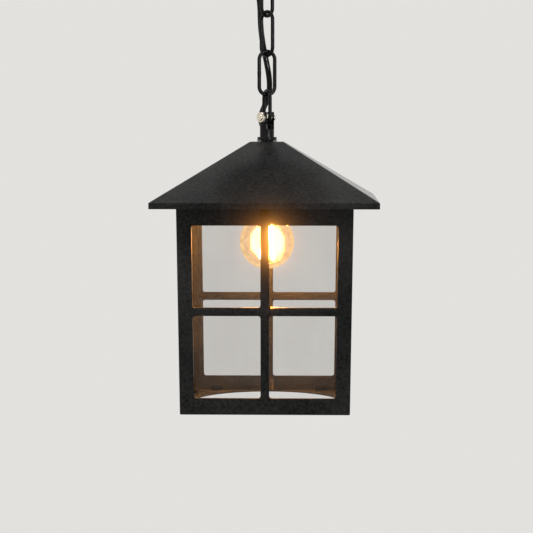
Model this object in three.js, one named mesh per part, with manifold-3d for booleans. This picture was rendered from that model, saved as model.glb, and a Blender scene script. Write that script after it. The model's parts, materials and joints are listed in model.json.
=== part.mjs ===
// A hanging lantern: a square cast body with four glazed windows under a pyramid roof, hung from a
// ceiling rose by four chain links, with its supply cable threaded down beside the chain.
// Millimetres, +Z up. The origin is the middle of the bracket face that meets the ceiling.

import * as THREE from 'three';
import { mergeVertices } from 'three/addons/utils/BufferGeometryUtils.js';
import Module from 'manifold-3d';

const wasm = await Module();
wasm.setup();

// ---- driving dimensions -------------------------------------------------------------------------

const GAP = 0.3; // left between pieces that touch
const ROOF_TOP = -180; // height of the roof's flat top; everything below hangs from this level

// Roof, heights measured from the roof's flat top.
const ROOF_HALF = 90.5;
const ROOF_TOP_HALF = 13.75;
const ROOF_HEIGHT = 51.6;
const ROOF_LIP = 4.85;
const ROOF_WALL = 3;

// Body, a box that narrows slightly towards its foot.
const BODY_TOP_HALF = 70.4;
const BODY_FOOT_HALF = 68;
const BODY_FOOT = -217;
const BODY_WALL = 3;
const BODY_FLANGE_TOP = -46.9; // the flange inside the roof that the roof's bosses stand on
const BODY_FLANGE_THICK = 3;
const BODY_FLANGE_HALF = 52; // half the square opening in the top flange
const FOOT_PLATE = 1.3;
const FOOT_HOLE_R = 62; // the round opening that the bulb is changed through

// Windows and their glazing bars.
const WINDOW_TOP = -65.5;
const WINDOW_FOOT = -203.6;
const WINDOW_TOP_HALF = 58.2;
const WINDOW_FOOT_HALF = 56.4;
const WINDOW_CORNER = 2;
const BAR_WIDTH = 6.9;
const BAR_MIDDLE = -134.3;
const BOSS_R = 4.6; // round boss where the bars cross
const BOSS_PROUD = 1; // how far the boss stands out from the wall's face

// Glazing.
const PANE_THICK = 2.4;
const PANE_TOP = -61.5;
const PANE_FOOT = -212;
const PANE_OVERLAP = 3.8;
const BLOCK = { width: 10, depth: 4, offset: 45 };
const CLIP = { width: 12, thick: 0.8, top: -52.5, foot: -66 };

// Roof screws.
const SCREW_OFFSET = 60;
const ROOF_BOSS_R = 4.5;
const ROOF_BOSS_HOLE_R = 2.2;
const SCREW_SHANK_R = 1.9;
const SCREW_HEAD_R = 3.5;
const SCREW_HEAD = 2.6;
const SCREW_LENGTH = 11;

// Hanging stem: a threaded tube with a flange and a forked head.
const STEM_R = 5.9;
const STEM_THREAD_R = 5;
const STEM_BORE_R = 3.3;
const STEM_MOUTH_R = 4.4;
const STEM_HEAD_TOP = 24.4;
const STEM_FOOT = -17;
const STEM_FLANGE_R = 8;
const STEM_FLANGE_TOP = 3.8;
const SLOT_WIDTH = 8.9; // wide enough for the lowest link to stay clear as the lantern swings
const SLOT_FLOOR = 10.4;
const SLOT_BACK_FLOOR = 5.2; // the rear of the slot is cut lower, so that the cable bends in easily
const SLOT_AZIMUTH = 140; // the slot's rear mouth, in degrees from +X
const BOLT_HEIGHT = 19.9;
const BOLT_R = 2.5;
const BOLT_AZIMUTH = SLOT_AZIMUTH - 90;
const NUT = { flats: 8, thick: 2.2 };

// Chain.
const WIRE = 3.1;
const LINK_LENGTH = 38.7;
const LINK_WIDTH = 16.4;
const SHORT_LINK_WIDTH = 16;
const SHORT_LINK_TOP = 43.25; // outer top of the short link that the bolt passes through
const CONTACT = WIRE + 0.25; // between the middles of two wires that bear on each other
const LINK_AZIMUTHS = [-66, 19, -45, 50]; // from the lowest link up
const LOOP_AZIMUTH = -35;

// Ceiling rose, heights measured from the ceiling.
const CANOPY_R = 50;
const CANOPY_DEPTH = 26;
const CANOPY_WALL = 1.5;
const BRACKET = { half: 46, width: 22, thick: 2, leg: 13 };
const ROSE_SCREW_HEIGHT = -9;
const GLAND_X = -19;
const GLAND_Y = 1;

// Supply cable, heights measured from the roof's flat top. One smooth route from the terminal block
// through the gland, down behind the chain and into the rear of the stem's slot.
const CABLE_R = 2.35;
const CABLE_ROUTE = [
  [-19, 1, 161.5], [-19, 1, 153], [-19, 1, 145.5], [-17.8, 1.4, 138.5], [-14.2, 2.7, 131.5],
  [-9.9, 4.6, 125], [-6.8, 6.4, 117.5], [-5.9, 7.7, 110], [-5.7, 8.6, 102.5], [-5.4, 9.4, 95],
  [-4.6, 9.6, 87], [-3.4, 9.7, 79], [-1.8, 9.7, 71], [-0.2, 9.8, 63], [1.1, 10, 55.5],
  [1.8, 10.3, 48], [1.5, 10.8, 41], [-0.2, 11.3, 34.5], [-2.7, 11.5, 28.5], [-4.7, 10.9, 23],
  [-5.3, 9.4, 18.3], [-4.4, 6.9, 14.2], [-2.75, 3.95, 10.8], [-1.25, 1.75, 7.2], [-0.4, 0.5, 2.5],
  [0, 0, -3], [0, 0, -8.5], [0, 0, -14.5],
];
const CABLE_CUTS = [117.5, 87.5, 57.5, 28]; // heights where one stretch of cable hands over to the next

// Lampholder and lamp, heights measured from the roof's flat top.
const HOLDER_R = 19.5;
const HOLDER_WALL = 2;
const HOLDER_TOP = -9;
const HOLDER_JOIN = -25;
const HOLDER_RIM = -56;
const LAMP_R = 22.5;
const LAMP_MIDDLE = -82.6;
const LAMP_GLASS = 1;
const LAMP_TIP = -29.5;
const CAP_R = 13;
const CAP_TOP = -33.6;
const CAP_RIM = -53.5;
const NECK_R = 12.4;

// ---- materials ----------------------------------------------------------------------------------

const finish = (color, roughness, metalness) => () =>
  new THREE.MeshStandardMaterial({ color, roughness, metalness });
const clear = (color, opacity) => () =>
  new THREE.MeshStandardMaterial({ color, roughness: 0.05, metalness: 0, transparent: true, opacity });

const blackPaint = finish(0x1b1b1c, 0.65, 0.3);
const blackChain = finish(0x18181a, 0.5, 0.4);
const nickel = finish(0xd9d3c6, 0.25, 1);
const zinc = finish(0xb9bbbd, 0.4, 1);
const blackRubber = finish(0x151515, 0.7, 0);
const cableSheath = finish(0x0e0e0f, 0.3, 0);
const holderPlastic = finish(0x202020, 0.45, 0);
const ceramic = finish(0xe7e2d6, 0.5, 0);
const brass = finish(0xb58f45, 0.35, 1);
const paneGlass = clear(0xdfe6e4, 0.25);
const lampGlass = clear(0xfff1d8, 0.35);
const glow = finish(0xffc46b, 0.6, 0);
const silicone = finish(0x6b6154, 0.6, 0);

// ---- geometry helpers ---------------------------------------------------------------------------

const radians = THREE.MathUtils.degToRad;

// A closed mesh as a manifold solid.
function solid(geometry) {
  const bare = geometry.clone();
  for (const name of ['normal', 'uv']) {
    bare.deleteAttribute(name);
  }
  const merged = mergeVertices(bare, 1e-4);
  const vertProperties = Float32Array.from(merged.attributes.position.array);
  const corners = merged.index.array;
  const kept = [];
  for (let i = 0; i < corners.length; i += 3) {
    const [a, b, c] = [corners[i], corners[i + 1], corners[i + 2]];
    if (a !== b && b !== c && c !== a) {
      kept.push(a, b, c);
    }
  }
  const triVerts = Uint32Array.from(kept);
  return new wasm.Manifold(new wasm.Mesh({ numProp: 3, vertProperties, triVerts }));
}

// A manifold solid as a geometry again.
function geometryOf(manifold) {
  const mesh = manifold.getMesh();
  const geometry = new THREE.BufferGeometry();
  const positions = new Float32Array(mesh.numVert * 3);
  for (let i = 0; i < mesh.numVert; i += 1) {
    for (let k = 0; k < 3; k += 1) {
      positions[3 * i + k] = mesh.vertProperties[i * mesh.numProp + k];
    }
  }
  geometry.setAttribute('position', new THREE.BufferAttribute(positions, 3));
  geometry.setIndex(new THREE.BufferAttribute(Uint32Array.from(mesh.triVerts), 1));
  geometry.computeVertexNormals();
  return geometry;
}

const joined = (parts) => parts.reduce((whole, next) => whole.add(next));
const cut = (whole, cutters) => cutters.reduce((rest, next) => rest.subtract(next), whole);

// A box from its lowest to its highest corner.
function block(low, high) {
  const [x, y, z] = low.map((value, i) => high[i] - value);
  const [cx, cy, cz] = low.map((value, i) => (high[i] + value) / 2);
  return new THREE.BoxGeometry(x, y, z).translate(cx, cy, cz);
}

// A profile of [radius, height] pairs, top to bottom on the outside, turned about Z.
function turned(profile, segments = 28) {
  const points = profile.map(([r, z]) => new THREE.Vector2(r, z)).reverse();
  return new THREE.LatheGeometry(points, segments).rotateX(Math.PI / 2);
}

// The same with four sides square to X and Y: each pair is [half width, height].
function squareTurned(profile) {
  const across = profile.map(([half, z]) => [half * Math.SQRT2, z]);
  return turned(across, 4).rotateZ(Math.PI / 4);
}

// An upright solid cylinder.
function post(radius, low, high, segments = 24) {
  return turned([[0, high], [radius, high], [radius, low], [0, low]], segments);
}

// An upright tube, open at both ends.
function sleeve(outer, inner, low, high, segments = 24) {
  return turned([[inner, high], [outer, high], [outer, low], [inner, low], [inner, high]], segments);
}

// A sideways cylinder along X.
function pinAlongX(radius, from, to, segments = 16) {
  return post(radius, from, to, segments).rotateY(Math.PI / 2);
}

// An upright hexagon across its flats, with a round hole.
function hexNut(acrossFlats, holeR, low, high) {
  const hex = post(acrossFlats / Math.sqrt(3), low, high, 6);
  return geometryOf(solid(hex).subtract(solid(post(holeR, low - 1, high + 1, 20))));
}

// A round tube along a curve.
function tube(curve, radius, sides, steps) {
  const section = new THREE.Shape(
    Array.from({ length: sides }, (_, i) => {
      const angle = (2 * Math.PI * i) / sides;
      return new THREE.Vector2(radius * Math.cos(angle), radius * Math.sin(angle));
    }),
  );
  return new THREE.ExtrudeGeometry(section, { steps, bevelEnabled: false, extrudePath: curve });
}

// A chain link: a torus pulled out along Z, standing in the XZ plane.
function linkShape(length, width) {
  const bendR = (width - WIRE) / 2;
  const stretch = (length - width) / 2;
  const shape = new THREE.TorusGeometry(bendR, WIRE / 2, 8, 20).rotateX(Math.PI / 2);
  const places = shape.attributes.position;
  for (let i = 0; i < places.count; i += 1) {
    const z = places.getZ(i);
    if (Math.abs(z) > 1e-6) {
      places.setZ(i, z + Math.sign(z) * stretch);
    }
  }
  return shape;
}

// ---- assembly helpers ---------------------------------------------------------------------------

const lantern = new THREE.Group();
lantern.name = 'hanging_lantern';
const below = new THREE.Group(); // everything measured from the roof's flat top
below.position.z = ROOF_TOP;
lantern.add(below);

function place(name, geometry, material, group = below) {
  const mesh = new THREE.Mesh(geometry, material());
  mesh.name = name;
  group.add(mesh);
  return mesh;
}

// Four groups, one facing each side, in which -Y points outwards.
const sides = ['front', 'right', 'back', 'left'].map((name, i) => {
  const group = new THREE.Group();
  group.rotation.z = (i * Math.PI) / 2;
  below.add(group);
  return { name, group };
});

// ---- ceiling rose -------------------------------------------------------------------------------

function ceilingBracket() {
  const { half, width, thick, leg } = BRACKET;
  const strap = solid(block([-half, -width / 2, -thick], [half, width / 2, 0]));
  const legs = [-1, 1].map((side) => {
    const xs = [side * half, side * (half - thick)].sort((a, b) => a - b);
    return solid(block([xs[0], -8, -leg], [xs[1], 8, -thick / 2]));
  });
  const boss = solid(post(6, -12, -thick / 2));
  const slots = [-1, 1].map((side) => {
    const ends = [side * 26, side * 34].sort((a, b) => a - b);
    return solid(block([ends[0], -2.2, -thick - 1], [ends[1], 2.2, 1]));
  });
  const bossHole = solid(post(3.3, -13, -4));
  const screwHole = solid(pinAlongX(2, -half - 1, half + 1)).translate(0, 0, ROSE_SCREW_HEIGHT);
  const clearance = solid(post(7.5, -13, -thick)); // the side screws' hole stops at the boss
  const drilled = cut(joined([strap, ...legs]), [...slots, screwHole, clearance]);
  return geometryOf(drilled.add(boss.subtract(bossHole)));
}

function canopy() {
  const floor = -CANOPY_DEPTH;
  const inner = CANOPY_R - CANOPY_WALL;
  const shell = turned(
    [
      [inner, -0.6], [CANOPY_R, -0.6], [CANOPY_R, -16], [CANOPY_R - 1.5, -19.5], [CANOPY_R - 5, -22],
      [CANOPY_R - 14, floor + 1.2], [12, floor], [0, floor], [0, floor + CANOPY_WALL],
      [12, floor + CANOPY_WALL], [CANOPY_R - 14.5, floor + 2.7], [CANOPY_R - 6, -20.4],
      [inner - 1.3, -18.2], [inner, -15.4], [inner, -0.6],
    ],
    36,
  );
  const loopHole = solid(post(3.6, floor - 1, floor + 4));
  const glandHole = solid(post(4.9, floor - 1, floor + 6)).translate(GLAND_X, GLAND_Y, 0);
  const screwHole = solid(pinAlongX(2.3, -CANOPY_R - 1, CANOPY_R + 1)).translate(0, 0, ROSE_SCREW_HEIGHT);
  return geometryOf(cut(solid(shell), [loopHole, glandHole, screwHole]));
}

function roseScrew(side) {
  const headFrom = CANOPY_R + GAP;
  const profile = [
    [0, headFrom + 2], [2.4, headFrom + 2], [3.6, headFrom + 0.8], [3.6, headFrom],
    [1.7, headFrom], [1.7, BRACKET.half - 6], [0, BRACKET.half - 6],
  ];
  const screw = turned(profile, 16).rotateY(Math.PI / 2);
  return side < 0 ? screw.rotateZ(Math.PI) : screw;
}

// The hanging loop: a closed ring under the canopy with a collar and a threaded shank.
function canopyLoop(bottomWire) {
  const bendR = 6.5;
  const ringMiddle = bottomWire + bendR;
  const ringTop = ringMiddle + bendR;
  const ring = new THREE.TorusGeometry(bendR, WIRE / 2, 8, 20).rotateX(Math.PI / 2);
  ring.rotateZ(radians(LOOP_AZIMUTH)).translate(0, 0, ringMiddle);
  const collarTop = -ROOF_TOP - CANOPY_DEPTH - GAP;
  const shankTop = -ROOF_TOP - 4.5;
  const shank = turned(
    [
      [0, shankTop], [3, shankTop], [3, collarTop], [6.5, collarTop], [6.5, collarTop - 2],
      [3.2, collarTop - 3], [3.2, ringTop], [0, ringTop],
    ],
    24,
  );
  return geometryOf(solid(ring).add(solid(shank)));
}

// The cable gland: a domed nut under the canopy, a threaded barrel through it.
function cableGland() {
  const seat = -ROOF_TOP - CANOPY_DEPTH;
  const bore = CABLE_R + 0.4;
  const profile = [
    [bore, seat + 8], [4.6, seat + 8], [4.6, seat - GAP], [7.5, seat - GAP], [7.5, seat - 4.5],
    [6, seat - 8], [4.4, seat - 9.5], [bore, seat - 9.5], [bore, seat + 8],
  ];
  return turned(profile, 24).translate(GLAND_X, GLAND_Y, 0);
}

const seatAbove = -ROOF_TOP - CANOPY_DEPTH + CANOPY_WALL + GAP; // top of the canopy's floor, inside
const glandSeat = seatAbove + 0.6;

place('ceiling_bracket', ceilingBracket(), zinc, lantern);
place('canopy', canopy(), blackPaint, lantern);
for (const [name, side] of [['left', -1], ['right', 1]]) {
  const screw = place(`canopy_screw_${name}`, roseScrew(side), blackPaint, lantern);
  screw.position.z = ROSE_SCREW_HEIGHT;
}
place('loop_washer', sleeve(6.5, 3.4, seatAbove, seatAbove + 1, 24), zinc);
place('loop_nut', hexNut(10, 3.3, seatAbove + 1 + GAP, seatAbove + 6), zinc);
place('cable_gland', cableGland(), blackRubber);
const glandNut = place('cable_gland_nut', hexNut(13, 4.9, glandSeat, glandSeat + 3.5), blackRubber);
glandNut.position.set(GLAND_X, GLAND_Y, 0);
const terminals = place('terminal_block', block([-9, -6, 0], [9, 6, 8]), holderPlastic);
terminals.position.set(GLAND_X, GLAND_Y, 162);

// ---- chain --------------------------------------------------------------------------------------

const shortLinkBottom = BOLT_HEIGHT - BOLT_R - 0.25 - WIRE;
let wireBelow = SHORT_LINK_TOP - WIRE / 2; // middle of the wire at the top of the link below
LINK_AZIMUTHS.forEach((azimuth, i) => {
  const isShort = i === 0;
  const length = isShort ? SHORT_LINK_TOP - shortLinkBottom : LINK_LENGTH;
  const bottomWire = isShort ? shortLinkBottom + WIRE / 2 : wireBelow - CONTACT;
  const shape = linkShape(length, isShort ? SHORT_LINK_WIDTH : LINK_WIDTH);
  const link = place(`chain_link_${i + 1}`, shape, blackChain);
  link.position.z = bottomWire + (length - WIRE) / 2;
  link.rotation.z = radians(azimuth);
  wireBelow = bottomWire + length - WIRE;
});
place('canopy_loop', canopyLoop(wireBelow - CONTACT), blackPaint);

// ---- cable --------------------------------------------------------------------------------------

// The part of the route between two heights, a little short at both ends so that stretches don't touch.
class RouteStretch extends THREE.Curve {
  constructor(route, from, to) {
    super();
    Object.assign(this, { route, from, to });
  }

  getPoint(t, target = new THREE.Vector3()) {
    return this.route.getPointAt(THREE.MathUtils.lerp(this.from, this.to, t), target);
  }
}

const route = new THREE.CatmullRomCurve3(
  CABLE_ROUTE.map((point) => new THREE.Vector3(...point)),
  false,
  'centripetal',
);
const routeLength = route.getLength();

// How far along the route, from 0 to 1, it first comes down to a height.
function shareAtHeight(height) {
  let [low, high] = [0, 1];
  for (let i = 0; i < 40; i += 1) {
    const middle = (low + high) / 2;
    if (route.getPointAt(middle).z > height) {
      low = middle;
    } else {
      high = middle;
    }
  }
  return low;
}

const cableEnds = [0, ...CABLE_CUTS.map(shareAtHeight), 1];
const halfGap = GAP / 2 / routeLength;
for (let i = 0; i < cableEnds.length - 1; i += 1) {
  const stretch = new RouteStretch(route, cableEnds[i] + halfGap, cableEnds[i + 1] - halfGap);
  const steps = Math.round(stretch.getLength() / (4 * CABLE_R));
  place(`cable_${i + 1}`, tube(stretch, CABLE_R, 8, Math.max(steps, 4) * 2), cableSheath);
}

// ---- stem ---------------------------------------------------------------------------------------

function hangerStem() {
  const seat = 1.2;
  const profile = [
    [STEM_MOUTH_R, STEM_HEAD_TOP], [STEM_R, STEM_HEAD_TOP], [STEM_R, STEM_FLANGE_TOP],
    [STEM_FLANGE_R, STEM_FLANGE_TOP], [STEM_FLANGE_R, seat], [STEM_THREAD_R, seat],
    [STEM_THREAD_R, STEM_FOOT], [STEM_BORE_R, STEM_FOOT], [STEM_BORE_R, -1],
    [STEM_MOUTH_R, 3], [STEM_MOUTH_R, STEM_HEAD_TOP],
  ];
  const top = STEM_HEAD_TOP + 1;
  const across = SLOT_WIDTH / 2;
  const slot = solid(block([-STEM_R - 1, -across, SLOT_FLOOR], [STEM_R + 1, across, top]));
  const rearSlot = solid(block([0, -across, SLOT_BACK_FLOOR], [STEM_R + 1, across, top]));
  const boltHole = solid(pinAlongX(BOLT_R + 0.2, -STEM_R - 1, STEM_R + 1, 24))
    .rotate([0, 0, -90])
    .translate(0, 0, BOLT_HEIGHT);
  return geometryOf(cut(solid(turned(profile)), [slot, rearSlot, boltHole]));
}

// The cross bolt lies along X here; its head is at +X.
function hangerBolt() {
  const start = STEM_R + GAP;
  return turned(
    [
      [0, start + 1.6], [2.7, start + 1.6], [3.1, start + 1.2], [3.1, start], [BOLT_R, start],
      [BOLT_R, -start - NUT.thick - 0.6], [0, -start - NUT.thick - 0.6],
    ],
    24,
  ).rotateY(Math.PI / 2);
}

const stem = place('hanger_stem', hangerStem(), blackPaint);
stem.rotation.z = radians(SLOT_AZIMUTH);
const bolt = place('hanger_bolt', hangerBolt(), nickel);
bolt.rotation.z = radians(BOLT_AZIMUTH);
bolt.position.z = BOLT_HEIGHT;
const nutShape = hexNut(NUT.flats, BOLT_R + 0.15, -STEM_R - GAP - NUT.thick, -STEM_R - GAP);
const nut = place('hanger_nut', nutShape.rotateY(Math.PI / 2), nickel);
nut.rotation.z = radians(BOLT_AZIMUTH);
nut.position.z = BOLT_HEIGHT;

place('stem_gasket', sleeve(8.2, STEM_THREAD_R + GAP, 0.25, 0.95), blackRubber);
const washerTop = -ROOF_WALL - GAP;
place('stem_washer', sleeve(9, STEM_THREAD_R + GAP, washerTop - 1, washerTop), zinc);
place('stem_locknut', hexNut(14, STEM_THREAD_R + 0.2, washerTop - 5, washerTop - 1 - GAP), zinc);

// ---- roof ---------------------------------------------------------------------------------------

const slope = (ROOF_HEIGHT - ROOF_LIP) / (ROOF_HALF - ROOF_TOP_HALF);
const slopeAngle = Math.atan(slope);
const corners = [[1, 1], [-1, 1], [-1, -1], [1, -1]];

// Height of the underside of the sloping roof at a distance from the middle.
const roofUnderside = (half) => -slope * (half - ROOF_TOP_HALF) - ROOF_WALL / Math.cos(slopeAngle);

function roof() {
  const foot = -ROOF_HEIGHT;
  const outer = solid(
    squareTurned([
      [0, 0], [ROOF_TOP_HALF, 0], [ROOF_HALF, foot + ROOF_LIP], [ROOF_HALF, foot], [0, foot],
    ]),
  );
  const innerHalf = ROOF_HALF - ROOF_WALL;
  const plateHalf = ROOF_TOP_HALF + (ROOF_WALL + roofUnderside(ROOF_TOP_HALF)) / slope;
  const inner = solid(
    squareTurned([
      [0, -ROOF_WALL], [plateHalf, -ROOF_WALL], [innerHalf, roofUnderside(innerHalf)],
      [innerHalf, foot - 1], [0, foot - 1],
    ]),
  );
  const bossFoot = BODY_FLANGE_TOP + GAP;
  const bosses = corners.map(([x, y]) => {
    const boss = solid(post(ROOF_BOSS_R, bossFoot, -10, 20)).translate(x * SCREW_OFFSET, y * SCREW_OFFSET, 0);
    return boss.intersect(outer);
  });
  const holes = corners.map(([x, y]) =>
    solid(post(ROOF_BOSS_HOLE_R, bossFoot - 1, -37, 16)).translate(x * SCREW_OFFSET, y * SCREW_OFFSET, 0),
  );
  const stemHole = solid(post(STEM_THREAD_R + GAP, -ROOF_WALL - 2, 1));
  return geometryOf(cut(joined([outer.subtract(inner), ...bosses]), [...holes, stemHole]));
}

place('roof', roof(), blackPaint);
const screwSeat = BODY_FLANGE_TOP - BODY_FLANGE_THICK - GAP;
const screwProfile = [
  [0, screwSeat + SCREW_LENGTH], [SCREW_SHANK_R, screwSeat + SCREW_LENGTH], [SCREW_SHANK_R, screwSeat],
  [SCREW_HEAD_R, screwSeat], [SCREW_HEAD_R, screwSeat - SCREW_HEAD + 1], [2, screwSeat - SCREW_HEAD],
  [0, screwSeat - SCREW_HEAD],
];
corners.forEach(([x, y], i) => {
  const screw = place(`roof_screw_${i + 1}`, turned(screwProfile, 16), zinc);
  screw.position.set(x * SCREW_OFFSET, y * SCREW_OFFSET, 0);
});

// ---- body ---------------------------------------------------------------------------------------

const bodyDraft = (BODY_TOP_HALF - BODY_FOOT_HALF) / (-ROOF_HEIGHT - BODY_FOOT);
const bodyHalf = (z) => BODY_FOOT_HALF + bodyDraft * (z - BODY_FOOT);
const windowHalf = (z) => {
  const share = (z - WINDOW_FOOT) / (WINDOW_TOP - WINDOW_FOOT);
  return THREE.MathUtils.lerp(WINDOW_FOOT_HALF, WINDOW_TOP_HALF, share);
};

// One of a window's four lights, as an outline in x and z with rounded corners.
function lightOutline(side, low, high) {
  const inner = BAR_WIDTH / 2;
  const outline = [[inner, low], [windowHalf(low), low], [windowHalf(high), high], [inner, high]];
  const ordered = side > 0 ? outline : outline.map(([x, z]) => [-x, z]).reverse();
  const shape = new THREE.Shape();
  ordered.forEach(([x, z], i) => {
    const corner = new THREE.Vector2(x, z);
    const before = new THREE.Vector2(...ordered[(i + 3) % 4]);
    const after = new THREE.Vector2(...ordered[(i + 1) % 4]);
    const start = corner.clone().add(before.sub(corner).setLength(WINDOW_CORNER));
    const end = corner.clone().add(after.sub(corner).setLength(WINDOW_CORNER));
    if (i === 0) {
      shape.moveTo(start.x, start.y);
    } else {
      shape.lineTo(start.x, start.y);
    }
    shape.quadraticCurveTo(corner.x, corner.y, end.x, end.y);
  });
  shape.closePath();
  return shape;
}

// The cutter for one light, standing across the front wall.
function lightCutter(side, low, high) {
  const depth = 24;
  const geometry = new THREE.ExtrudeGeometry(lightOutline(side, low, high), {
    depth,
    bevelEnabled: false,
    curveSegments: 2,
  });
  return solid(geometry.rotateX(Math.PI / 2).translate(0, -BODY_FOOT_HALF + depth / 2, 0));
}

function bodyCasting() {
  const outer = solid(
    squareTurned([
      [0, BODY_FLANGE_TOP], [bodyHalf(BODY_FLANGE_TOP), BODY_FLANGE_TOP],
      [BODY_FOOT_HALF, BODY_FOOT], [0, BODY_FOOT],
    ]),
  );
  const hollowTop = BODY_FLANGE_TOP - BODY_FLANGE_THICK;
  const hollowFoot = BODY_FOOT + FOOT_PLATE;
  const inner = solid(
    squareTurned([
      [0, hollowTop], [bodyHalf(hollowTop) - BODY_WALL, hollowTop],
      [bodyHalf(hollowFoot) - BODY_WALL, hollowFoot], [0, hollowFoot],
    ]),
  );
  const openHalf = BODY_FLANGE_HALF;
  const topOpening = solid(
    block([-openHalf, -openHalf, hollowTop - 1], [openHalf, openHalf, BODY_FLANGE_TOP + 1]),
  );
  const footHole = solid(post(FOOT_HOLE_R, BODY_FOOT - 1, hollowFoot + 1, 48));
  const screwHoles = corners.map(([x, y]) =>
    solid(post(2.3, hollowTop - 1, BODY_FLANGE_TOP + 1, 16)).translate(x * SCREW_OFFSET, y * SCREW_OFFSET, 0),
  );
  const barHalf = BAR_WIDTH / 2;
  const lights = [-1, 1].flatMap((side) => [
    lightCutter(side, BAR_MIDDLE + barHalf, WINDOW_TOP),
    lightCutter(side, WINDOW_FOOT, BAR_MIDDLE - barHalf),
  ]);
  const around = sides.flatMap((_, i) => lights.map((light) => light.rotate([0, 0, 90 * i])));
  const middleHalf = bodyHalf(BAR_MIDDLE);
  const crossing = solid(
    post(BOSS_R, middleHalf - BODY_WALL, middleHalf + BOSS_PROUD, 20)
      .rotateX(Math.PI / 2)
      .translate(0, 0, BAR_MIDDLE),
  );
  const crossings = sides.map((_, i) => crossing.rotate([0, 0, 90 * i]));
  const shell = cut(outer, [inner, topOpening, footHole, ...screwHoles, ...around]);
  return geometryOf(joined([shell, ...crossings]));
}

place('body_casting', bodyCasting(), blackPaint);

// ---- glazing ------------------------------------------------------------------------------------

const tilt = Math.atan(bodyDraft);

// A pane, leaning with the wall, with its outer face just inside the wall's inner face.
function pane() {
  const height = (PANE_TOP - PANE_FOOT) / Math.cos(tilt);
  const footHalf = windowHalf(PANE_FOOT) + PANE_OVERLAP;
  const topHalf = windowHalf(PANE_TOP) + PANE_OVERLAP;
  const shape = new THREE.Shape(
    [[-footHalf, 0], [footHalf, 0], [topHalf, height], [-topHalf, height]].map(
      ([x, z]) => new THREE.Vector2(x, z),
    ),
  );
  const geometry = new THREE.ExtrudeGeometry(shape, { depth: PANE_THICK, bevelEnabled: false });
  return geometry.rotateX(Math.PI / 2).translate(0, PANE_THICK, 0);
}

// A spring clip over the top edge of a pane: flat on the wall above it, then stepped over the glass.
function paneClip() {
  const wallAt = (z) => -(bodyHalf(z) - BODY_WALL - GAP);
  const overPane = PANE_THICK + 2 * GAP;
  const { thick, top, foot, width } = CLIP;
  const bend = PANE_TOP + 1.2;
  const outline = [
    [wallAt(top), top], [wallAt(bend + 1), bend + 1], [wallAt(bend) + overPane, bend - 0.6],
    [wallAt(foot) + overPane, foot], [wallAt(foot) + overPane + thick, foot],
    [wallAt(bend) + overPane + thick, bend], [wallAt(bend + 1) + thick, bend + 1.8],
    [wallAt(top) + thick, top],
  ];
  const shape = new THREE.Shape(outline.map(([y, z]) => new THREE.Vector2(y, z)));
  const geometry = new THREE.ExtrudeGeometry(shape, { depth: width, bevelEnabled: false });
  const yToY = new THREE.Matrix4().makeBasis(
    new THREE.Vector3(0, 1, 0),
    new THREE.Vector3(0, 0, 1),
    new THREE.Vector3(1, 0, 0),
  );
  return geometry.applyMatrix4(yToY).translate(-width / 2, 0, 0);
}

for (const { name, group } of sides) {
  const glass = place(`glass_pane_${name}`, pane(), paneGlass, group);
  glass.position.set(0, -(bodyHalf(PANE_FOOT) - BODY_WALL - GAP), PANE_FOOT);
  glass.rotation.x = tilt;
  const blockTop = PANE_FOOT - GAP;
  const blockFoot = BODY_FOOT + FOOT_PLATE + GAP;
  const blockOuter = -(bodyHalf(blockFoot) - BODY_WALL - GAP);
  for (const [end, side] of [['a', -1], ['b', 1]]) {
    const middle = side * BLOCK.offset;
    const low = [middle - BLOCK.width / 2, blockOuter, blockFoot];
    const high = [middle + BLOCK.width / 2, blockOuter + BLOCK.depth, blockTop];
    place(`glass_block_${name}_${end}`, block(low, high), silicone, group);
  }
  place(`pane_clip_${name}`, paneClip(), zinc, group);
}

// ---- lampholder ---------------------------------------------------------------------------------

const holderInner = HOLDER_R - HOLDER_WALL;
place(
  'lampholder_cap',
  turned([
    [STEM_THREAD_R + GAP, HOLDER_TOP], [9, HOLDER_TOP], [10, HOLDER_TOP - 4], [15, HOLDER_TOP - 7],
    [HOLDER_R, HOLDER_TOP - 12], [HOLDER_R, HOLDER_JOIN], [holderInner, HOLDER_JOIN],
    [holderInner, HOLDER_TOP - 12.5], [13.5, HOLDER_TOP - 9], [STEM_THREAD_R + GAP, HOLDER_TOP - 8],
    [STEM_THREAD_R + GAP, HOLDER_TOP],
  ]),
  holderPlastic,
);
place(
  'lampholder_shell',
  turned([
    [holderInner, HOLDER_JOIN - GAP], [HOLDER_R, HOLDER_JOIN - GAP], [HOLDER_R, HOLDER_RIM + 1],
    [HOLDER_R - 1, HOLDER_RIM], [15.5, HOLDER_RIM], [15.5, HOLDER_RIM + 3], [holderInner, HOLDER_RIM + 4],
    [holderInner, HOLDER_JOIN - GAP],
  ]),
  holderPlastic,
);
const coreTop = HOLDER_TOP - 13.5;
place(
  'lampholder_core',
  turned([
    [0, coreTop], [15, coreTop], [16.6, coreTop - 2], [16.6, coreTop - 5], [14.9, coreTop - 6],
    [14.9, HOLDER_RIM + 4], [CAP_R + 0.4, HOLDER_RIM + 4], [CAP_R + 0.4, coreTop - 5.5],
    [0, coreTop - 4.5],
  ]),
  ceramic,
);

function holderContact() {
  const top = coreTop - 4.5 - GAP - 0.2;
  const plate = solid(block([-7, -3, top - 0.8], [3, 3, top - 0.4]));
  const spring = solid(block([-4, -2.5, LAMP_TIP + GAP], [3, 2.5, top - 0.5]));
  return geometryOf(plate.add(spring));
}
place('lampholder_contact', holderContact(), brass);

// ---- lamp ---------------------------------------------------------------------------------------

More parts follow.
